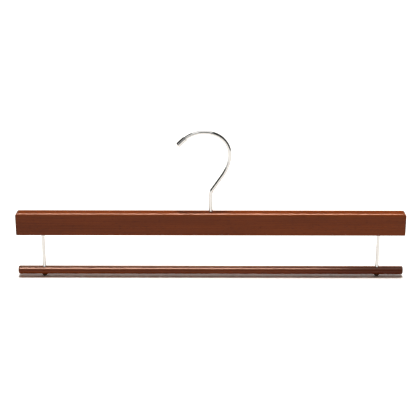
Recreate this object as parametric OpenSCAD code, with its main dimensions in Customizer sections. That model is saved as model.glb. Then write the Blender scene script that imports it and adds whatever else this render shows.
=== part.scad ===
// Wooden trouser hanger with a swivelling wire hook.
// A lacquered top bar carries the hook in its middle and two headed steel rods from below.
// The rods hold a round lower bar, over which the trousers are folded.
// Every piece is drawn in the stem frame: the stem's axis is x = 0 and the top bar's top
// face is z = 0. in_frame() then moves the origin to the rail seat, the underside of the
// hook's crown. +X runs along the bars, +Z is up and the front faces -Y.

/* [Top bar] */
// Length of the top bar, and of the lower bar
bar_l = 400; // [360:5:450]
// Height of the top bar
bar_h = 24; // [20:0.5:32]
// Thickness of the top bar, front to back
bar_t = 13; // [12:0.5:18]
// Rounding of the two long upper edges
bar_top_r = 2.5; // [1.5:0.1:4]
// Rounding of the two long lower edges
bar_bottom_r = 1; // [0.5:0.1:3]
// Rounding of the upper corners at the ends, seen from the front
bar_end_top_r = 3.5; // [1:0.1:6]
// Rounding of the lower corners at the ends, seen from the front
bar_end_bottom_r = 1.8; // [1:0.1:5]
// Rounding of the upright edges at the ends
bar_end_side_r = 1.6; // [0.8:0.1:4]

/* [Lower bar] */
// Diameter of the lower bar
lower_d = 8.8; // [8:0.1:14]
// Drop from the top bar's underside to the lower bar's axis
lower_drop = 40; // [25:0.5:60]
// Rounding of the lower bar's end edges
lower_end_r = 1.4; // [0.5:0.1:3]

/* [Rods] */
// Distance of each rod from the bars' ends
rod_inset = 27; // [20:0.5:60]
// Diameter of a rod
rod_d = 3.5; // [2.5:0.1:4]
// Depth that a rod goes into the top bar
rod_grip = 15; // [8:0.5:18]
// Diameter of a rod's round head
head_d = 5.6; // [5:0.1:7]
// Height of the head's straight rim
head_rim_h = 0.9; // [0.7:0.1:2]
// Height of the head's dome above its rim
head_dome_h = 1.8; // [1:0.1:2.5]
// Depth of the flat seat that is cut into the lower bar for a head
head_seat = 0.5; // [0.3:0.1:0.9]

/* [Hook wire] */
// Diameter of the wire
wire_d = 3.8; // [3:0.1:4.4]
// Upright length of the stem above the top bar
stem_rise = 19.3; // [12:0.1:40]
// Centreline radius of the bend at the top of the stem
lean_r = 8; // [6:0.5:16]
// Angle by which the wire leans away from the stem
lean_angle = 34.5; // [20:0.5:40]
// Straight length of the leaning wire
lean_l = 18; // [10:0.5:30]
// Centreline radius of the slow curve above the leaning wire
neck_r = 44; // [30:0.5:60]
// Angle of that slow curve
neck_angle = 28; // [15:0.5:34]
// Centreline radius of the shoulder, beside the rail
shoulder_r = 22; // [16:0.5:30]
// Angle of the shoulder
shoulder_angle = 70; // [60:0.5:80]
// Centreline radius of the crown, over the rail
crown_r = 31; // [24:0.5:40]
// Angle of the crown
crown_angle = 61.5; // [50:0.5:75]
// Centreline radius of the small bend just before the tip
nib_r = 10; // [8:0.5:20]
// Angle of that small bend
nib_angle = 8; // [4:0.5:20]
// Straight length of wire at the tip
tip_l = 9.2; // [6:0.2:16]

/* [Hook tip] */
// Outside diameter of the cap on the wire's end
cap_d = 5.6; // [5:0.1:7]
// Length of the cap past the wire's end
cap_over = 1.6; // [0.8:0.1:3]
// Rounding of the cap's closed end
cap_end_r = 1.5; // [0.5:0.1:2]
// Chamfer of the cap's open edge
cap_mouth_chamfer = 0.3; // [0.1:0.05:0.5]

/* [Swivel] */
// Diameter of the pocket under the top bar
pocket_d = 10.4; // [9.6:0.1:11]
// Depth of the pocket
pocket_depth = 8; // [7.5:0.1:10]
// Thickness of the washer in the pocket
washer_t = 0.8; // [0.5:0.1:1.2]
// Size of the nut across its flats
nut_af = 7; // [6:0.1:7.5]
// Height of the nut
nut_h = 3.2; // [2.4:0.1:4]
// Height of the nut's corner chamfer, and of the chamfer at each end of its hole
nut_chamfer = 0.4; // [0.2:0.1:0.6]
// Length of stem below the nut
stem_end_l = 1.5; // [0.5:0.1:2]
// Chamfer round the mouth of the stem's hole
bore_chamfer = 0.4; // [0.2:0.1:0.8]

/* [Clearances] */
// Radial gap of the stem in the top bar
swivel_gap = 0.1; // [0.05:0.01:0.1]
// Play between washer and nut along the stem
swivel_play = 0.2; // [0.1:0.05:0.4]
// Gap of the washer round the stem and inside the pocket
washer_gap = 0.3; // [0.25:0.05:0.4]
// Radial gap of a rod in the top bar, of the cap on the wire and of the nut on the stem
press_gap = 0.02; // [0.01:0.01:0.05]
// Radial gap of a rod in the lower bar
rod_gap = 0.2; // [0.05:0.05:0.3]
// Radial gap round a head in its seat
head_gap = 0.2; // [0.1:0.05:0.4]

/* [Hidden] */

$fn = 64;
// Overlap of a cutter past the face that it opens
cut = 1;
// Chamfer on the hidden ends of the rods and the stem
end_chamfer = 0.4;
// Room between a rod's end and the bottom of its hole
hole_spare = 1;
// The hook's lengths of wire stop this far short of each joint between them, and a ball
// that is a hair thicker than the wire closes it, so no two tangent faces share an edge
joint_gap = 0.05;
joint_bead = 0.02;

wood = [0.42, 0.19, 0.11];
chrome = [0.82, 0.82, 0.83];
steel = [0.62, 0.62, 0.63];

rod_x = bar_l / 2 - rod_inset;

// Heights in the stem frame
lower_z = -bar_h - lower_drop;
seat_z = lower_z - lower_d / 2 + head_seat;
rod_top_z = -bar_h + rod_grip;
pocket_z = -bar_h + pocket_depth;
nut_top_z = pocket_z - washer_t - swivel_play;
stem_end_z = nut_top_z - nut_h - stem_end_l;

// The wire's centreline in the X-Z plane, from the stem's bend to the tip.
// A heading is an angle from +X, and a positive radius turns to the left.
function turn_centre(p, heading, r) = p + r * [-sin(heading), cos(heading)];
function turn_end(p, heading, r, angle) =
    turn_centre(p, heading, r) + r * [sin(heading + angle), -cos(heading + angle)];
function run_end(p, heading, len) = p + len * [cos(heading), sin(heading)];

lean_from = [0, stem_rise];
lean_to = turn_end(lean_from, 90, -lean_r, -lean_angle);
lean_heading = 90 - lean_angle;
neck_from = run_end(lean_to, lean_heading, lean_l);
shoulder_from = turn_end(neck_from, lean_heading, neck_r, neck_angle);
shoulder_heading = lean_heading + neck_angle;
crown_from = turn_end(shoulder_from, shoulder_heading, shoulder_r, shoulder_angle);
crown_heading = shoulder_heading + shoulder_angle;
nib_from = turn_end(crown_from, crown_heading, crown_r, crown_angle);
nib_heading = crown_heading + crown_angle;
tip_from = turn_end(nib_from, nib_heading, nib_r, nib_angle);
tip_heading = nib_heading + nib_angle;

// Underside of the crown at its highest point, which hangs on the rail
crown_centre = turn_centre(crown_from, crown_heading, crown_r);
rail_seat = crown_centre + [0, crown_r - wire_d / 2];

module in_frame() {
    translate([-rail_seat.x, 0, -rail_seat.y])
        children();
}

// Rectangle about the origin with its own corner radius above and below
module rounded_plate(w, h, r_top, r_bottom) {
    for (side = [-1, 1]) {
        translate([side * (w / 2 - r_top), h / 2 - r_top])
            circle(r = r_top);
        translate([side * (w / 2 - r_bottom), -h / 2 + r_bottom])
            circle(r = r_bottom);
    }
    translate([-w / 2, -h / 2 + r_bottom])
        square([w, h - r_top - r_bottom]);
    translate([-w / 2 + r_top, 0])
        square([w - 2 * r_top, h / 2]);
    translate([-w / 2 + r_bottom, -h / 2])
        square([w - 2 * r_bottom, h / 2]);
}

// Half section of a round bar that stands on the origin, with both end edges rounded
module bar_half_section(r, len, edge_r) {
    square([r - edge_r, len]);
    translate([0, edge_r])
        square([r, len - 2 * edge_r]);
    for (z = [edge_r, len - edge_r])
        translate([r - edge_r, z])
            circle(r = edge_r);
}

// The bar's long edges, seen from the end
module bar_long_form() {
    rotate([90, 0, 90])
        linear_extrude(height = bar_l, center = true)
            rounded_plate(bar_t, bar_h, bar_top_r, bar_bottom_r);
}

// The bar's corners, seen from the front
module bar_front_form() {
    rotate([90, 0, 0])
        linear_extrude(height = bar_t + 2 * cut, center = true)
            rounded_plate(bar_l, bar_h, bar_end_top_r, bar_end_bottom_r);
}

// The upright edges of the bar's ends, seen from above
module bar_top_form() {
    linear_extrude(height = bar_h + 2 * cut, center = true)
        rounded_plate(bar_l, bar_t, bar_end_side_r, bar_end_side_r);
}

module top_bar() {
    color(wood)
        in_frame()
            difference() {
                translate([0, 0, -bar_h / 2])
                    intersection() {
                        bar_long_form();
                        bar_front_form();
                        bar_top_form();
                    }
                stem_hole();
                for (side = [-1, 1])
                    translate([side * rod_x, 0, -bar_h - cut])
                        cylinder(d = rod_d + 2 * press_gap, h = rod_grip + hole_spare + cut);
            }
}

// Stem bore with a chamfered mouth above and the washer's pocket below
module stem_hole() {
    bore_d = wire_d + 2 * swivel_gap;
    translate([0, 0, -bar_h - cut])
        cylinder(d = bore_d, h = bar_h + 2 * cut);
    translate([0, 0, -bar_h - cut])
        cylinder(d = pocket_d, h = pocket_depth + cut);
    translate([0, 0, -bore_chamfer])
        cylinder(d1 = bore_d, d2 = bore_d + 2 * (bore_chamfer + cut), h = bore_chamfer + cut);
}

module lower_bar() {
    color(wood)
        in_frame()
            translate([0, 0, lower_z])
                difference() {
                    translate([-bar_l / 2, 0, 0])
                        rotate([0, 90, 0])
                            rotate_extrude()
                                bar_half_section(lower_d / 2, bar_l, lower_end_r);
                    for (side = [-1, 1])
                        translate([side * rod_x, 0, 0])
                            rod_hole();
                }
}

// Hole for a rod through the lower bar, with a flat seat for the head
module rod_hole() {
    translate([0, 0, -lower_d / 2 - cut])
        cylinder(d = rod_d + 2 * rod_gap, h = lower_d + 2 * cut);
    translate([0, 0, -lower_d / 2 - cut])
        cylinder(d = head_d + 2 * head_gap, h = head_seat + cut);
}

// Headed rod, from its dome below the lower bar to its end in the top bar
module rod(side) {
    shank_l = rod_top_z - seat_z;
    dome_r = (pow(head_d / 2, 2) + pow(head_dome_h, 2)) / (2 * head_dome_h);
    color(chrome)
        in_frame()
            translate([side * rod_x, 0, seat_z]) {
                cylinder(d = rod_d, h = shank_l - end_chamfer);
                translate([0, 0, shank_l - end_chamfer])
                    cylinder(d1 = rod_d, d2 = rod_d - 2 * end_chamfer, h = end_chamfer);
                translate([0, 0, -head_rim_h])
                    cylinder(d = head_d, h = head_rim_h);
                translate([0, 0, -head_rim_h])
                    rotate([180, 0, 0])
                        rotate_extrude()
                            intersection() {
                                translate([0, head_dome_h - dome_r])
                                    circle(r = dome_r);
                                square([head_d / 2, head_dome_h]);
                            }
            }
}

module left_rod() {
    rod(-1);
}

module right_rod() {
    rod(1);
}

// Straight wire along a heading, between two distances from a point of the centreline
module wire_run(p, heading, from, to) {
    translate([p.x, 0, p.y])
        rotate([0, 90 - heading, 0])
            translate([0, 0, from])
                cylinder(d = wire_d, h = to - from);
}

// Wire bent about a centre, counter-clockwise from a start angle
module wire_bend(centre, r, start, angle) {
    trim = joint_gap / r * 180 / PI;
    translate([centre.x, 0, centre.y])
        rotate([90, 0, 0])
            rotate([0, 0, start + trim])
                rotate_extrude(angle = angle - 2 * trim, $fn = 120)
                    translate([r, 0])
                        circle(d = wire_d);
}

// Ball that closes the wire where two lengths meet
module wire_joint(p) {
    translate([p.x, 0, p.y])
        sphere(d = wire_d + joint_bead);
}

module hook() {
    color(chrome)
        in_frame() {
            translate([0, 0, stem_end_z])
                cylinder(d1 = wire_d - 2 * end_chamfer, d2 = wire_d, h = end_chamfer);
            wire_run([0, stem_end_z], 90, end_chamfer, lean_from.y - stem_end_z - joint_gap);
            wire_bend(turn_centre(lean_from, 90, -lean_r), lean_r, 180 - lean_angle, lean_angle);
            wire_run(lean_to, lean_heading, joint_gap, lean_l - joint_gap);
            wire_bend(turn_centre(neck_from, lean_heading, neck_r), neck_r, lean_heading - 90, neck_angle);
            wire_bend(turn_centre(shoulder_from, shoulder_heading, shoulder_r), shoulder_r,
                shoulder_heading - 90, shoulder_angle);
            wire_bend(crown_centre, crown_r, crown_heading - 90, crown_angle);
            wire_bend(turn_centre(nib_from, nib_heading, nib_r), nib_r, nib_heading - 90, nib_angle);
            wire_run(tip_from, tip_heading, joint_gap, tip_l);
            for (p = [lean_from, lean_to, neck_from, shoulder_from, crown_from, nib_from, tip_from])
                wire_joint(p);
        }
}

// Closed cap pressed over the straight end of the wire
module hook_tip() {
    cap_l = tip_l + cap_over;
    color(chrome)
        in_frame()
            translate([tip_from.x, 0, tip_from.y])
                rotate([0, 90 - tip_heading, 0])
                    rotate_extrude()
                        difference() {
                            intersection() {
                                square([cap_d / 2, cap_l]);
                                union() {
                                    square([cap_d / 2 - cap_end_r, cap_l]);
                                    square([cap_d / 2, cap_l - cap_end_r]);
                                    translate([cap_d / 2 - cap_end_r, cap_l - cap_end_r])
                                        circle(r = cap_end_r);
                                }
                            }
                            translate([0, -cut])
                                square([wire_d / 2 + press_gap, tip_l + cut]);
                            polygon([
                                [cap_d / 2 - cap_mouth_chamfer, 0],
                                [cap_d / 2 + cut, 0],
                                [cap_d / 2 + cut, cap_mouth_chamfer + cut]
                            ]);
                        }
}

module hook_washer() {
    color(steel)
        in_frame()
            translate([0, 0, pocket_z - washer_t])
                difference() {
                    cylinder(d = pocket_d - 2 * washer_gap, h = washer_t);
                    translate([0, 0, -cut])
                        cylinder(d = wire_d + 2 * washer_gap, h = washer_t + 2 * cut);
                }
}

module hook_nut() {
    corner_d = nut_af / cos(30);
    face_d = corner_d - 2 * nut_chamfer / tan(30);
    bore_d = wire_d + 2 * press_gap;
    color(steel)
        in_frame()
            translate([0, 0, nut_top_z - nut_h])
                difference() {
                    intersection() {
                        cylinder(d = corner_d, h = nut_h, $fn = 6);
                        union() {
                            cylinder(d1 = face_d, d2 = corner_d, h = nut_chamfer);
                            translate([0, 0, nut_chamfer])
                                cylinder(d = corner_d, h = nut_h - 2 * nut_chamfer);
                            translate([0, 0, nut_h - nut_chamfer])
                                cylinder(d1 = corner_d, d2 = face_d, h = nut_chamfer);
                        }
                    }
                    translate([0, 0, -cut])
                        cylinder(d = bore_d, h = nut_h + 2 * cut);
                    translate([0, 0, -cut])
                        cylinder(d1 = bore_d + 2 * (nut_chamfer + cut), d2 = bore_d, h = nut_chamfer + cut);
                    translate([0, 0, nut_h - nut_chamfer])
                        cylinder(d1 = bore_d, d2 = bore_d + 2 * (nut_chamfer + cut), h = nut_chamfer + cut);
                }
}

top_bar();
lower_bar();
left_rod();
right_rod();
hook();
hook_tip();
hook_washer();
hook_nut();
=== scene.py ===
"""Looks and stage of a wooden trouser hanger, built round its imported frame."""

import math

import bpy
from bpy.props import FloatProperty, FloatVectorProperty, IntProperty, PointerProperty, StringProperty
from mathutils import Matrix, Vector


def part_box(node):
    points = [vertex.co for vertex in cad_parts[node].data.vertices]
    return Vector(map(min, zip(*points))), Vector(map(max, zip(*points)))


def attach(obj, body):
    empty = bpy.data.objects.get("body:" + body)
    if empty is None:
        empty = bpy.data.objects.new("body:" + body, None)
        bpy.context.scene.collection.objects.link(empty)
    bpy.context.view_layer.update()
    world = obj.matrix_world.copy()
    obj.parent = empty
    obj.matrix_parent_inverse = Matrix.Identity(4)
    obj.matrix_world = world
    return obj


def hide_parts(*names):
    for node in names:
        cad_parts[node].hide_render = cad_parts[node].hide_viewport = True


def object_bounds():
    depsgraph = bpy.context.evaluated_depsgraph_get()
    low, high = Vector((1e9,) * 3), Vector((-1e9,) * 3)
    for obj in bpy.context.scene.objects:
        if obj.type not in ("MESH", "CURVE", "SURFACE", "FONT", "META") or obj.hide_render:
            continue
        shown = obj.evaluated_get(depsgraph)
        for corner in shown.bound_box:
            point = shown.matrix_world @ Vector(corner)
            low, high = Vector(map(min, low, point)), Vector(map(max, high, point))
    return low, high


bl_info = {
    "name": "Trouser Hanger",
    "version": (1, 0, 0),
    "blender": (4, 5, 0),
    "location": "3D View > Sidebar > Hanger",
    "description": "Lacquered bars, chrome wire hook, rods and stage of a wooden trouser hanger",
    "category": "Add Mesh",
}

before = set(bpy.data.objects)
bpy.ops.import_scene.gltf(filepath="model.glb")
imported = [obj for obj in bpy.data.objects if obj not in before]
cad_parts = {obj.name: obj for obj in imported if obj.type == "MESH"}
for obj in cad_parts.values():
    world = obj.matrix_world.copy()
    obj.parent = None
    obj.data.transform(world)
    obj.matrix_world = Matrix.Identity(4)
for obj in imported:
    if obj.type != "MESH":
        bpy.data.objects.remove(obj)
CAD_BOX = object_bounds()
MM = 0.001
IMAGE_PX = 420
SENSOR_MM = 36.0
FAR_CLIP = 20.0

SWIVEL = "swivel"

# Sockets of a colour Mix node, whose names repeat
FACTOR, FIRST, SECOND, MIXED = 0, 6, 7, 2


# Small tools

def linear(hex_colour):
    """Linear RGBA from an sRGB hex colour such as 5E2A17."""
    def channel(start):
        c = int(hex_colour[start:start + 2], 16) / 255
        return c / 12.92 if c <= 0.04045 else ((c + 0.055) / 1.055) ** 2.4
    return (channel(0), channel(2), channel(4), 1.0)


def give(tree, node, inputs):
    """Sets or links each of a node's inputs. A node as a value is linked by its first output."""
    for name, value in inputs.items():
        if isinstance(value, bpy.types.Node):
            value = value.outputs[0]
        if isinstance(value, bpy.types.NodeSocket):
            tree.links.new(value, node.inputs[name])
        else:
            node.inputs[name].default_value = value


def add_node(tree, kind, inputs=None, **settings):
    """Adds a node with its settings and its inputs."""
    new = tree.nodes.new(kind)
    for name, value in settings.items():
        setattr(new, name, value)
    give(tree, new, inputs or {})
    return new


def set_stops(ramp, stops):
    """Gives a colour ramp its (place, grey level) stops."""
    elements = ramp.color_ramp.elements
    while len(elements) < len(stops):
        elements.new(1.0)
    for element, (place, grey) in zip(elements, stops):
        element.position = place
        element.color = (grey, grey, grey, 1.0)
    return ramp


def new_material(name):
    """A new node material, its tree and its Principled shader."""
    material = bpy.data.materials.new(name)
    material.use_nodes = True
    return material, material.node_tree, material.node_tree.nodes["Principled BSDF"]


def dress(obj, material):
    """Gives a node or a piece its material."""
    obj.data.materials.clear()
    obj.data.materials.append(material)


def add_object(name, data):
    """A new object at the origin, linked to the scene."""
    obj = bpy.data.objects.new(name, data)
    bpy.context.scene.collection.objects.link(obj)
    return obj


def mesh_piece(name, vertices, faces):
    """A smooth mesh object at the origin."""
    mesh = bpy.data.meshes.new(name)
    mesh.from_pydata(vertices, [], faces)
    mesh.validate()
    mesh.shade_smooth()
    return add_object(name, mesh)


# Sizes and finishes that a user would change

def length(name, about, millimetres):
    return FloatProperty(name=name, description=about, default=millimetres * MM,
                         unit="LENGTH", precision=5)


def turn(name, about, degrees):
    return FloatProperty(name=name, description=about, default=math.radians(degrees), unit="ROTATION")


def level(name, about, value):
    return FloatProperty(name=name, description=about, default=value, min=0.0)


def colour(name, about, hex_colour):
    return StringProperty(name=name, description=about + ", as an sRGB hex value", default=hex_colour)


class HangerWire(bpy.types.PropertyGroup):
    wire_d: length("Wire", "Diameter of the hook's wire", 3.8)
    stem_rise: length("Stem", "Upright length of the stem above the top bar", 19.3)
    lean_r: length("Lean radius", "Radius of the bend at the top of the stem", 8.0)
    lean_angle: turn("Lean angle", "Lean of the wire away from the stem", 34.5)
    lean_l: length("Lean length", "Straight length of the leaning wire", 18.0)
    neck_r: length("Neck radius", "Radius of the slow curve above the lean", 44.0)
    neck_angle: turn("Neck angle", "Angle of that slow curve", 28.0)
    shoulder_r: length("Shoulder radius", "Radius of the wire beside the rail", 22.0)
    shoulder_angle: turn("Shoulder angle", "Angle of the shoulder", 70.0)
    crown_r: length("Crown radius", "Radius of the wire over the rail", 31.0)
    crown_angle: turn("Crown angle", "Angle of the crown", 61.5)
    nib_r: length("Nib radius", "Radius of the small bend just before the tip", 10.0)
    nib_angle: turn("Nib angle", "Angle of that small bend", 8.0)
    tip_l: length("Tip length", "Straight length of wire at the tip", 9.2)
    step: turn("Step", "Turn of the wire from one point of a bend to the next", 1.5)
    sides: IntProperty(name="Sides", description="Sides of the wire's round section", default=40, min=8)


class HangerThread(bpy.types.PropertyGroup):
    pitch: length("Pitch", "Pitch of the stem's thread", 0.7)
    depth: length("Depth", "Depth of the thread", 0.38)
    chamfer: length("Chamfer", "Chamfer on the stem's lower end", 0.5)
    sides: IntProperty(name="Sides", description="Points round one turn of the thread",
                       default=48, min=12)
    rows_per_turn: IntProperty(name="Rows", description="Rows of points along one pitch",
                               default=8, min=4)


class HangerWood(bpy.types.PropertyGroup):
    light: colour("Light grain", "Stained early wood", "8B3E09")
    dark: colour("Dark grain", "Stained late wood", "622503")
    pore: colour("Pores", "Stain gathered in the pores", "2E0D04")
    ring_w: length("Ring width", "Distance between growth rings", 2.6)
    coat_weight: level("Lacquer", "Weight of the clear lacquer", 0.26)
    coat_rough: level("Lacquer roughness", "Roughness of the clear lacquer", 0.05)


class HangerMetal(bpy.types.PropertyGroup):
    chrome: colour("Chrome", "Bright chrome plate", "F2F1EF")
    chrome_rough: level("Chrome roughness", "Roughness of the chrome plate", 0.06)
    zinc: colour("Zinc", "Zinc plate on the washer and the nut", "A9ABA8")
    zinc_rough: level("Zinc roughness", "Roughness of the zinc plate", 0.34)
    # The rod heads' colour is painted shade, for their shadowed, dark reflections under the lower bar
    head: colour("Rod heads", "Dull dark heads of the rods", "4A3A2C")


class HangerStage(bpy.types.PropertyGroup):
    target: FloatVectorProperty(name="Target", description="Point that the camera looks at",
                                default=(0.00605, 0.0, -0.0803),
                                subtype="XYZ", unit="LENGTH", precision=5)
    distance: length("Distance", "Distance of the camera from its target", 1156.0)
    elevation: turn("Elevation", "Height angle of the camera above the horizon", 19.0)
    roll: turn("Roll", "Turn of the camera about its own axis", 0.08)
    focal_px: level("Focal length", "Focal length in pixels of the picture", 1129.0)
    overhead: level("Overhead", "Irradiance of the lamp overhead", 3.2)
    overhead_colour: colour("Overhead colour", "Tint of the lamp overhead", "FFFEF9")
    overhead_angle: turn("Overhead angle", "Angular width of the lamp overhead", 6.0)
    overhead_tilt: turn("Overhead tilt", "Tilt of the lamp overhead towards the front", -0.8)
    fill: level("Fill", "Irradiance of the low lamp behind", 0.4)
    fill_angle: turn("Fill angle", "Angular width of the low lamp behind", 30.0)
    fill_towards: FloatVectorProperty(name="Fill direction", description="Way that the low lamp shines",
                                      default=(0.1, -1.0, -0.9), subtype="DIRECTION")
    even: level("Even light", "Level of the even light from all round", 0.12)
    even_colour: colour("Even light colour", "Warm tint of the even light", "FFE3CD")
    card: level("Cards", "Level of the dark cards that gloss and chrome reflect", 0.045)
    top_edge: level("Top bar's glint", "Irradiance that draws the top bar's highlight", 13.0)
    top_edge_height: turn("Top bar's glint height", "Height of that lamp above the front", 71.0)
    front_edge: level("Front glint", "Irradiance that draws the lower bar's front highlight", 11.5)
    front_edge_height: turn("Front glint height", "Height of that lamp above the front", 58.0)
    front_edge_turn: turn("Front glint turn", "Turn of that lamp towards the left", 6.0)
    back_edge: level("Back glint", "Irradiance that draws the lower bar's upper highlight", 3.6)
    back_edge_height: turn("Back glint height", "Height of that lamp above the front", 140.0)
    edge_angle: turn("Glint angle", "Angular width of each of these three lamps", 26.0)
    edge_colour: colour("Glint colour", "Warm tint of each of these three lamps", "FFCBB1")
    table_white: level("Table", "Share of the light that the table throws back", 0.85)
    table_seen: level("Table seen", "How much brighter the table is to the camera", 1.7)
    table_mirrored: level("Table mirrored", "How much brighter the table is to gloss and chrome", 1.0)


class HangerSettings(bpy.types.PropertyGroup):
    wire: PointerProperty(type=HangerWire)
    thread: PointerProperty(type=HangerThread)
    wood: PointerProperty(type=HangerWood)
    metal: PointerProperty(type=HangerMetal)
    stage: PointerProperty(type=HangerStage)


# Finishes

def streaks(tree, place_mm, long_mm, wide_mm, detail):
    """Noise whose grains are long along the bar and narrow across it."""
    stretched = add_node(tree, "ShaderNodeVectorMath", {
        0: place_mm, 1: (1 / long_mm, 1 / wide_mm, 1 / wide_mm)}, operation="MULTIPLY")
    return add_node(tree, "ShaderNodeTexNoise", {
        "Vector": stretched, "Scale": 1.0, "Detail": detail, "Roughness": 0.55})


def growth_rings(tree, place_mm, ring_mm):
    """Place within a growth ring, from 0 to 1. The rings wander a few millimetres along the bar."""
    wander_mm = (14, 14, 14)
    wander = streaks(tree, place_mm, long_mm=170, wide_mm=30, detail=1.0).outputs["Color"]
    shifted = add_node(tree, "ShaderNodeVectorMath", {0: wander, 1: wander_mm, 2: place_mm},
                       operation="MULTIPLY_ADD")
    across = add_node(tree, "ShaderNodeVectorMath", {0: shifted, 1: (0, 1, 1)}, operation="MULTIPLY")
    radius = add_node(tree, "ShaderNodeVectorMath", {0: across}, operation="LENGTH").outputs["Value"]
    rings = add_node(tree, "ShaderNodeMath", {0: radius, 1: ring_mm}, operation="DIVIDE")
    return add_node(tree, "ShaderNodeMath", {0: rings}, operation="FRACT")


def grain_shade(tree, place_mm, ring_mm, depth_along_bar):
    """How dark the wood is: late wood, fibres and broad figure, on top of the darkening given along the
    bar.
    """
    rings = growth_rings(tree, place_mm, ring_mm)
    fibres = streaks(tree, place_mm, long_mm=55, wide_mm=1.1, detail=3.0)
    figure = streaks(tree, place_mm, long_mm=120, wide_mm=14, detail=1.0)
    late_wood = [(0.0, 0.35), (0.12, 0.0), (0.6, 0.2), (0.92, 0.75), (1.0, 0.4)]
    shade = depth_along_bar
    for pattern, share, stops in ((rings, 0.25, late_wood),
                                  (fibres, 0.3, [(0.3, 0.0), (0.72, 1.0)]),
                                  (figure, 0.3, [(0.3, 0.0), (0.7, 1.0)])):
        dark = set_stops(add_node(tree, "ShaderNodeValToRGB", {"Fac": pattern}), stops)
        shade = add_node(tree, "ShaderNodeMath", {0: dark, 1: share, 2: shade}, operation="MULTIPLY_ADD")
    return shade


def fine_pores(tree, place_mm):
    """1 in the pores, 4 mm long and a quarter of a millimetre wide, as in mahogany-like woods."""
    specks = streaks(tree, place_mm, long_mm=4.0, wide_mm=0.28, detail=1.0)
    return set_stops(add_node(tree, "ShaderNodeValToRGB", {"Fac": specks}), [(0.62, 0.0), (0.7, 1.0)])


def end_grain(tree):
    """1 on the ends of a bar, less round their corners, and 0 on its long faces."""
    normal = add_node(tree, "ShaderNodeNewGeometry").outputs["Normal"]
    along = add_node(tree, "ShaderNodeSeparateXYZ", {0: normal}).outputs["X"]
    return add_node(tree, "ShaderNodeMath", {0: along}, operation="ABSOLUTE")


def lacquer_film(tree, place):
    """Surface of sprayed lacquer, which dries with a slight orange peel."""
    peel_mm, depth_mm = 3.0, 0.01
    peel = add_node(tree, "ShaderNodeTexNoise", {
        "Vector": place, "Scale": 1 / (peel_mm * MM), "Detail": 1.0})
    return add_node(tree, "ShaderNodeBump", {
        "Height": peel, "Strength": 0.3, "Distance": depth_mm * MM})


def stained_hardwood(name, wood, heart_mm, tilt, depth_along):
    """Close-grained hardwood, stained red-brown and sprayed with gloss lacquer.

    The eye sees long faint streaks along the bar, finer dark pores, and a clear film over both.
    heart_mm is the middle of the tree, about which the growth rings lie. The wood is also made darker or
    lighter along the bar, by a depth given at two places, as (x, depth).
    """
    pore_share, end_share, pore_depth_mm = 0.5, 0.9, 0.03
    material, tree, shader = new_material(name)
    place = add_node(tree, "ShaderNodeTexCoord").outputs["Object"]
    place_mm = add_node(tree, "ShaderNodeMapping", {
        "Vector": place, "Location": [-c for c in heart_mm], "Rotation": (0, tilt[0], tilt[1]),
        "Scale": (1 / MM, 1 / MM, 1 / MM)})
    # Darker or lighter along the bar, between the two (x, depth) places
    (first_x, first_depth), (last_x, last_depth) = depth_along
    depth_along_bar = add_node(tree, "ShaderNodeMapRange", {
        "Value": add_node(tree, "ShaderNodeSeparateXYZ", {0: place}).outputs["X"],
        "From Min": first_x, "From Max": last_x, "To Min": first_depth, "To Max": last_depth})
    shade = grain_shade(tree, place_mm, wood.ring_w / MM, depth_along_bar)
    # Pores hold more stain, and so does end grain
    pores = fine_pores(tree, place_mm)
    pore_stain = add_node(tree, "ShaderNodeMath", {0: pores, 1: pore_share}, operation="MULTIPLY")
    end_stain = add_node(tree, "ShaderNodeMath", {0: end_grain(tree), 1: end_share}, operation="MULTIPLY")
    base = linear(wood.light)
    for share, stained in ((shade, wood.dark), (pore_stain, wood.pore), (end_stain, wood.pore)):
        base = add_node(tree, "ShaderNodeMix", {FACTOR: share, FIRST: base, SECOND: linear(stained)},
                        data_type="RGBA").outputs[MIXED]
    relief = add_node(tree, "ShaderNodeBump", {
        "Height": pores, "Strength": 0.5, "Distance": pore_depth_mm * MM}, invert=True)
    give(tree, shader, {
        "Base Color": base, "Roughness": 0.5, "Specular IOR Level": 0.08, "Normal": relief,
        "Coat Weight": wood.coat_weight, "Coat Roughness": wood.coat_rough, "Coat IOR": 1.5,
        "Coat Normal": lacquer_film(tree, place)})
    return material


def plated_metal(name, hex_colour, roughness, spread, mottle_mm, relief_mm, shaded_foot=None):
    """Metal plate over steel, whose polish varies a little from place to place.

    The last argument is the height and the colour of painted shade on the lower end: below that height
    the metal takes this dark colour.
    """
    dull_share = 0.88
    bright = linear(hex_colour)
    dull = [dull_share * c for c in bright[:3]] + [1.0]
    material, tree, shader = new_material(name)
    place = add_node(tree, "ShaderNodeTexCoord").outputs["Object"]
    mottle = add_node(tree, "ShaderNodeTexNoise", {
        "Vector": place, "Scale": 1 / (mottle_mm * MM), "Detail": 3.0}).outputs["Fac"]
    polish = add_node(tree, "ShaderNodeMapRange", {
        "Value": mottle, "From Min": 0.3, "From Max": 0.7,
        "To Min": max(roughness - spread, 0.0), "To Max": roughness + spread})
    base = add_node(tree, "ShaderNodeMix", {FACTOR: mottle, FIRST: bright, SECOND: dull},
                    data_type="RGBA").outputs[MIXED]
    # Painted shade: below the given height the metal takes the dark colour
    if shaded_foot:
        height, shade_colour = shaded_foot
        up = add_node(tree, "ShaderNodeSeparateXYZ", {0: place}).outputs["Z"]
        below = add_node(tree, "ShaderNodeMath", {0: up, 1: height}, operation="LESS_THAN")
        base = add_node(tree, "ShaderNodeMix", {FACTOR: below, FIRST: base, SECOND: linear(shade_colour)},
                        data_type="RGBA").outputs[MIXED]
    relief = add_node(tree, "ShaderNodeBump", {
        "Height": mottle, "Strength": 0.3, "Distance": relief_mm * MM})
    give(tree, shader, {"Base Color": base, "Metallic": 1.0, "Roughness": polish, "Normal": relief})
    return material


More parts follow.
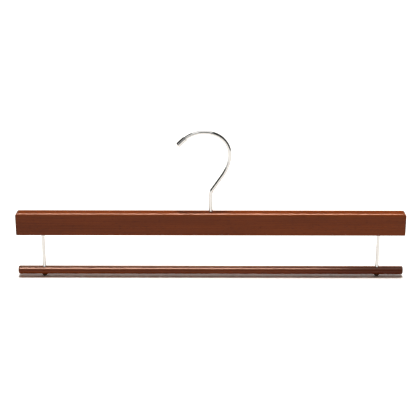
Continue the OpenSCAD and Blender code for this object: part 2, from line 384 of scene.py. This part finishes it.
def bright_chrome(metal, shaded_foot=None):
    """Decorative chrome, buffed and plated: a clear mirror with a faintly uneven polish."""
    return plated_metal("bright_chrome", metal.chrome, metal.chrome_rough,
                        spread=0.02, mottle_mm=2.5, relief_mm=0.0006, shaded_foot=shaded_foot)


def zinc_plate(metal):
    """Zinc-plated steel, tumbled in a barrel: a soft grey sheen with mottled patches."""
    return plated_metal("zinc_plate", metal.zinc, metal.zinc_rough,
                        spread=0.1, mottle_mm=1.2, relief_mm=0.004)


# Wire of the hook

def stem_place():
    """Axis of the stem and height of the top bar's top face, from the frame."""
    low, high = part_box("hook_washer")
    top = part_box("top_bar")[1].z
    return Vector(((low.x + high.x) / 2, 0.0, top))


def wire_path(wire):
    """Centreline of the wire from the washer to the end inside the cap."""
    start = stem_place()
    washer_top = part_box("hook_washer")[1].z
    heading = math.pi / 2
    points = [Vector((start.x, 0.0, washer_top)), Vector((start.x, 0.0, start.z + wire.stem_rise))]

    def bend(radius, angle, side):
        """Adds an arc; side is 1 for a turn to the left and -1 for one to the right."""
        nonlocal heading
        steps = math.ceil(angle / wire.step)
        centre = points[-1] + side * radius * Vector((-math.sin(heading), 0.0, math.cos(heading)))
        for _ in range(steps):
            heading += side * angle / steps
            points.append(centre + side * radius * Vector((math.sin(heading), 0.0, -math.cos(heading))))

    def run(distance):
        points.append(points[-1] + distance * Vector((math.cos(heading), 0.0, math.sin(heading))))

    bend(wire.lean_r, wire.lean_angle, -1)
    run(wire.lean_l)
    bend(wire.neck_r, wire.neck_angle, 1)
    bend(wire.shoulder_r, wire.shoulder_angle, 1)
    bend(wire.crown_r, wire.crown_angle, 1)
    bend(wire.nib_r, wire.nib_angle, 1)
    run(wire.tip_l)
    return points


def round_wire_tree():
    """Geometry Nodes tree that sweeps a round section along a curve."""
    tree = bpy.data.node_groups.new("Round wire", "GeometryNodeTree")
    for name, kind in (("Geometry", "Geometry"), ("Radius", "Float"), ("Sides", "Int"),
                       ("Material", "Material")):
        tree.interface.new_socket(name, in_out="INPUT", socket_type="NodeSocket" + kind)
    tree.interface.new_socket("Geometry", in_out="OUTPUT", socket_type="NodeSocketGeometry")
    given = add_node(tree, "NodeGroupInput").outputs
    section = add_node(tree, "GeometryNodeCurvePrimitiveCircle", {
        "Resolution": given["Sides"], "Radius": given["Radius"]})
    swept = add_node(tree, "GeometryNodeCurveToMesh", {
        "Curve": given["Geometry"], "Profile Curve": section, "Fill Caps": True})
    smooth = add_node(tree, "GeometryNodeSetShadeSmooth", {"Geometry": swept})
    real = add_node(tree, "GeometryNodeRealizeInstances", {"Geometry": smooth})
    finish = add_node(tree, "GeometryNodeSetMaterial", {"Geometry": real, "Material": given["Material"]})
    add_node(tree, "NodeGroupOutput", {"Geometry": finish})
    return tree


def curve_object(name, points):
    """Open curve through the points, for a tree to work on."""
    data = bpy.data.curves.new(name, "CURVE")
    data.dimensions = "3D"
    spline = data.splines.new("POLY")
    spline.points.add(len(points) - 1)
    for place, point in zip(spline.points, points):
        place.co = (*point, 1.0)
    return add_object(name, data)


def grown(name, base, tree, **inputs):
    """Plain mesh piece from a tree on a base object, which is then removed."""
    modifier = base.modifiers.new("Tree", "NODES")
    modifier.node_group = tree
    sockets = {item.name: item.identifier for item in tree.interface.items_tree
               if item.in_out == "INPUT" and item.name != "Geometry"}
    for key, value in inputs.items():
        modifier[sockets[key]] = value
    bpy.context.view_layer.update()
    shown = base.evaluated_get(bpy.context.evaluated_depsgraph_get())
    mesh = bpy.data.meshes.new_from_object(shown)
    bpy.data.objects.remove(base)
    return add_object(name, mesh)


def threaded_end(thread, wire, top, bottom):
    """Screw thread of the stem, from its run-out down to its chamfered end."""
    axis = stem_place()
    height = top - bottom
    rows = math.ceil(height / thread.pitch * thread.rows_per_turn)
    vertices = []
    for row in range(rows + 1):
        z = bottom + height * row / rows
        for side in range(thread.sides):
            phase = (z / thread.pitch - side / thread.sides) % 1.0
            groove = thread.depth * (1 - abs(2 * phase - 1))
            end_limit = wire.wire_d / 2 - thread.chamfer + (z - bottom)
            radius = min(wire.wire_d / 2 - groove, end_limit)
            angle = 2 * math.pi * side / thread.sides
            vertices.append((axis.x + radius * math.cos(angle), radius * math.sin(angle), z))
    faces = []
    for row in range(rows):
        for side in range(thread.sides):
            here = row * thread.sides
            following = (side + 1) % thread.sides
            faces.append((here + side, here + following,
                          here + thread.sides + following, here + thread.sides + side))
    faces.append(tuple(reversed(range(thread.sides))))
    faces.append(tuple(range(rows * thread.sides, (rows + 1) * thread.sides)))
    return mesh_piece("hook_thread", vertices, faces)


# Operators

class HANGER_OT_wooden_bars(bpy.types.Operator):
    """Lacquer the top bar and the lower bar"""
    bl_idname = "hanger.wooden_bars"
    bl_label = "Wooden bars"

    def execute(self, context):
        wood = context.scene.hanger.wood
        plank = stained_hardwood("stained_hardwood_plank", wood, heart_mm=(0, 22, -150),
                                 tilt=(0.004, 0.003), depth_along=((-0.2, 0.08), (0.2, -0.12)))
        turned = stained_hardwood("stained_hardwood_turned", wood, heart_mm=(40, 9, -131),
                                  tilt=(-0.006, 0.005), depth_along=((0.06, 0.15), (0.17, 0.8)))
        dress(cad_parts["top_bar"], plank)
        dress(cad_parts["lower_bar"], turned)
        return {"FINISHED"}


class HANGER_OT_hook_wire(bpy.types.Operator):
    """Bend the hook's wire and cut the thread on its stem"""
    bl_idname = "hanger.hook_wire"
    bl_label = "Hook wire"

    def execute(self, context):
        settings = context.scene.hanger
        wire = settings.wire
        chrome = bright_chrome(settings.metal)
        path = wire_path(wire)
        hook = grown("hook_wire", curve_object("hook_path", path), round_wire_tree(),
                     Radius=wire.wire_d / 2, Sides=wire.sides, Material=chrome)
        stem_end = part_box("hook")[0].z
        thread = threaded_end(settings.thread, wire, path[0].z, stem_end)
        thread.data.materials.append(chrome)
        for piece in (hook, thread):
            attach(piece, SWIVEL)
            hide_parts("hook")
        dress(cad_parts["hook_tip"], chrome)
        return {"FINISHED"}


class HANGER_OT_rods(bpy.types.Operator):
    """Plate the two headed rods"""
    bl_idname = "hanger.rods"
    bl_label = "Rods"

    def execute(self, context):
        metal = context.scene.hanger.metal
        low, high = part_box("lower_bar")
        middle = (low.z + high.z) / 2
        # Below the lower bar's middle the rods, heads and all, take a dark colour: painted shade for
        # their shadowed, dark reflections under the bar
        chrome = bright_chrome(metal, shaded_foot=(middle, metal.head))
        for name in ("left_rod", "right_rod"):
            dress(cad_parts[name], chrome)
        return {"FINISHED"}


class HANGER_OT_swivel_hardware(bpy.types.Operator):
    """Plate the washer and the nut under the top bar"""
    bl_idname = "hanger.swivel_hardware"
    bl_label = "Washer and nut"

    def execute(self, context):
        zinc = zinc_plate(context.scene.hanger.metal)
        for name in ("hook_washer", "hook_nut"):
            dress(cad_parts[name], zinc)
        return {"FINISHED"}


class HANGER_OT_stage(bpy.types.Operator):
    """Set the table, the lights and the camera"""
    bl_idname = "hanger.stage"
    bl_label = "Stage"

    def execute(self, context):
        stage = context.scene.hanger.stage
        context.scene.view_settings.view_transform = "Standard"
        white_table(stage)
        studio_lights(stage)
        surroundings(context.scene, stage)
        place_camera(context.scene, stage)
        return {"FINISHED"}


# Stage

# Reach of the table to the sides and in depth, in metres
TABLE_X = (-0.6, 1.2)
TABLE_Y = (-0.7, 3.0)

# Parts of the sphere of directions that the dark cards leave white, as ranges of x, y and z. No
# direction reaches -2 or 2, so these leave a side open.
WHITE_PARTS = {
    "overhead": ((-0.45, 0.3), (-2, 2), (0.62, 2)),
    "left_of_camera": ((-0.6, -0.12), (-2, -0.3), (0.22, 0.7)),
    "right_behind": ((0.35, 2), (0.2, 2), (-2, 0.5)),
    "left_behind": ((-2, -0.3), (0.4, 2), (-2, 0.3)),
    "left": ((-2, -0.5), (-0.6, 0.6), (-2, 0.1)),
}


def white_paint(stage):
    """Matt white paint that is brighter to the camera, as on an overexposed photograph."""
    material, tree, shader = new_material("white_paint")
    tree.nodes.remove(shader)
    path = add_node(tree, "ShaderNodeLightPath").outputs
    shade = stage.table_white
    for ray, gain in (("Is Glossy Ray", stage.table_mirrored), ("Is Camera Ray", stage.table_seen)):
        shade = add_node(tree, "ShaderNodeMapRange", {
            "Value": path[ray], "To Min": shade, "To Max": stage.table_white * gain})
    # From below the table isn't there, so that the underside of the bars can be seen
    surface = add_node(tree, "ShaderNodeMixShader", {
        0: add_node(tree, "ShaderNodeNewGeometry").outputs["Backfacing"],
        1: add_node(tree, "ShaderNodeBsdfDiffuse", {"Color": shade}),
        2: add_node(tree, "ShaderNodeBsdfTransparent")})
    give(tree, tree.nodes["Material Output"], {"Surface": surface})
    return material


def white_table(stage):
    """Flat white table that the hanger stands on."""
    (left, right), (front, back) = TABLE_X, TABLE_Y
    z = CAD_BOX[0].z
    corners = [(left, front, z), (right, front, z), (right, back, z), (left, back, z)]
    table = mesh_piece("table", corners, [(0, 1, 2, 3)])
    table.data.materials.append(white_paint(stage))


def sun(name, irradiance, angle, towards, tint=None):
    """Distant lamp of an angular width, which shines along a direction."""
    data = bpy.data.lights.new(name, "SUN")
    data.energy = irradiance
    data.angle = angle
    if tint:
        data.color = linear(tint)[:3]
    lamp = add_object(name, data)
    lamp.rotation_euler = Vector(towards).to_track_quat("-Z", "Y").to_euler()
    return lamp


def glint(name, bar, stage, irradiance, height, side=0.0):
    """Lamp that only the gloss of one bar sees, so that a highlight runs along that bar."""
    towards = (math.sin(side), math.cos(height), -math.sin(height))
    lamp = sun(name, irradiance, stage.edge_angle, towards, stage.edge_colour)
    lamp.visible_diffuse = False
    seen_by = bpy.data.collections.new(name)
    seen_by.objects.link(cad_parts[bar])
    lamp.light_linking.receiver_collection = seen_by


def studio_lights(stage):
    """A lamp overhead, a low one behind, and three for the highlights along the lacquered bars."""
    tilt = stage.overhead_tilt
    downwards = (0, math.sin(tilt), -math.cos(tilt))
    overhead = sun("overhead_light", stage.overhead, stage.overhead_angle, downwards,
                   stage.overhead_colour)
    low = sun("back_fill", stage.fill, stage.fill_angle, stage.fill_towards)
    overhead.visible_glossy = False
    low.visible_glossy = False
    glint("top_bar_light", "top_bar", stage, stage.top_edge, stage.top_edge_height)
    glint("lower_front_light", "lower_bar", stage, stage.front_edge, stage.front_edge_height,
          stage.front_edge_turn)
    glint("lower_back_light", "lower_bar", stage, stage.back_edge, stage.back_edge_height)


def mirrored_level(tree, card):
    """1 where gloss and chrome see white, and the cards' level elsewhere, with soft edges."""
    soft = 0.02
    direction = add_node(tree, "ShaderNodeSeparateXYZ", {
        0: add_node(tree, "ShaderNodeTexCoord").outputs["Generated"]}).outputs
    brightness = card
    for ranges in WHITE_PARTS.values():
        inside = 1.0
        for axis, (low, high) in zip("XYZ", ranges):
            for start, end in ((low - soft, low + soft), (high + soft, high - soft)):
                edge = add_node(tree, "ShaderNodeMapRange", {
                    "Value": direction[axis], "From Min": start, "From Max": end})
                inside = add_node(tree, "ShaderNodeMath", {0: inside, 1: edge}, operation="MULTIPLY")
        brightness = add_node(tree, "ShaderNodeMath", {0: brightness, 1: inside}, operation="MAXIMUM")
    return brightness


def surroundings(scene, stage):
    """White all round to the camera, and to gloss and chrome the same white with dark cards in it."""
    world = bpy.data.worlds.new("surroundings")
    scene.world = world
    world.use_nodes = True
    tree = world.node_tree
    tree.nodes.clear()
    ray = add_node(tree, "ShaderNodeLightPath").outputs
    # Light that has left a matt surface sees only the even light, so chrome throws no bright specks
    first = add_node(tree, "ShaderNodeMath", {0: ray["Diffuse Depth"], 1: 0.5}, operation="LESS_THAN")
    mirrored = add_node(tree, "ShaderNodeMath", {0: ray["Is Glossy Ray"], 1: first}, operation="MULTIPLY")
    seen = add_node(tree, "ShaderNodeMath", {0: ray["Is Camera Ray"], 1: ray["Is Transmission Ray"]},
                    operation="MAXIMUM")
    strength = add_node(tree, "ShaderNodeMath", {0: seen, 1: mirrored_level(tree, stage.card)},
                        operation="MAXIMUM")
    share = add_node(tree, "ShaderNodeMath", {0: seen, 1: mirrored}, operation="MAXIMUM")
    white = add_node(tree, "ShaderNodeBackground", {"Color": (1, 1, 1, 1), "Strength": strength})
    even = add_node(tree, "ShaderNodeBackground", {
        "Color": linear(stage.even_colour), "Strength": stage.even})
    result = add_node(tree, "ShaderNodeMixShader", {0: share, 1: even, 2: white})
    add_node(tree, "ShaderNodeOutputWorld", {"Surface": result})


def place_camera(scene, stage):
    """Camera at the photograph's place, with its slight roll."""
    data = bpy.data.cameras.new("camera")
    data.sensor_width = SENSOR_MM
    data.lens = stage.focal_px * SENSOR_MM / IMAGE_PX
    data.clip_end = FAR_CLIP
    back = Vector((0.0, -math.cos(stage.elevation), math.sin(stage.elevation)))
    camera = add_object("camera", data)
    aim = (-back).to_track_quat("-Z", "Y").to_matrix().to_4x4()
    spot = Matrix.Translation(Vector(stage.target) + stage.distance * back)
    camera.matrix_world = spot @ aim @ Matrix.Rotation(stage.roll, 4, "Z")
    scene.camera = camera


class HANGER_PT_panel(bpy.types.Panel):
    """Buttons that make the hanger's pieces and its stage"""
    bl_idname = "HANGER_PT_panel"
    bl_label = "Trouser hanger"
    bl_space_type = "VIEW_3D"
    bl_region_type = "UI"
    bl_category = "Hanger"

    def draw(self, context):
        for operator in OPERATORS:
            self.layout.operator(operator.bl_idname)


GROUPS = (HangerWire, HangerThread, HangerWood, HangerMetal, HangerStage, HangerSettings)
OPERATORS = (HANGER_OT_wooden_bars, HANGER_OT_hook_wire, HANGER_OT_rods, HANGER_OT_swivel_hardware,
             HANGER_OT_stage)


def register():
    for cls in GROUPS + OPERATORS + (HANGER_PT_panel,):
        bpy.utils.register_class(cls)
    bpy.types.Scene.hanger = PointerProperty(type=HangerSettings)


def unregister():
    del bpy.types.Scene.hanger
    for cls in reversed(GROUPS + OPERATORS + (HANGER_PT_panel,)):
        bpy.utils.unregister_class(cls)


def main():
    register()
    bpy.ops.hanger.wooden_bars()
    bpy.ops.hanger.hook_wire()
    bpy.ops.hanger.rods()
    bpy.ops.hanger.swivel_hardware()
    bpy.ops.hanger.stage()


if __name__ == "__main__":
    main()
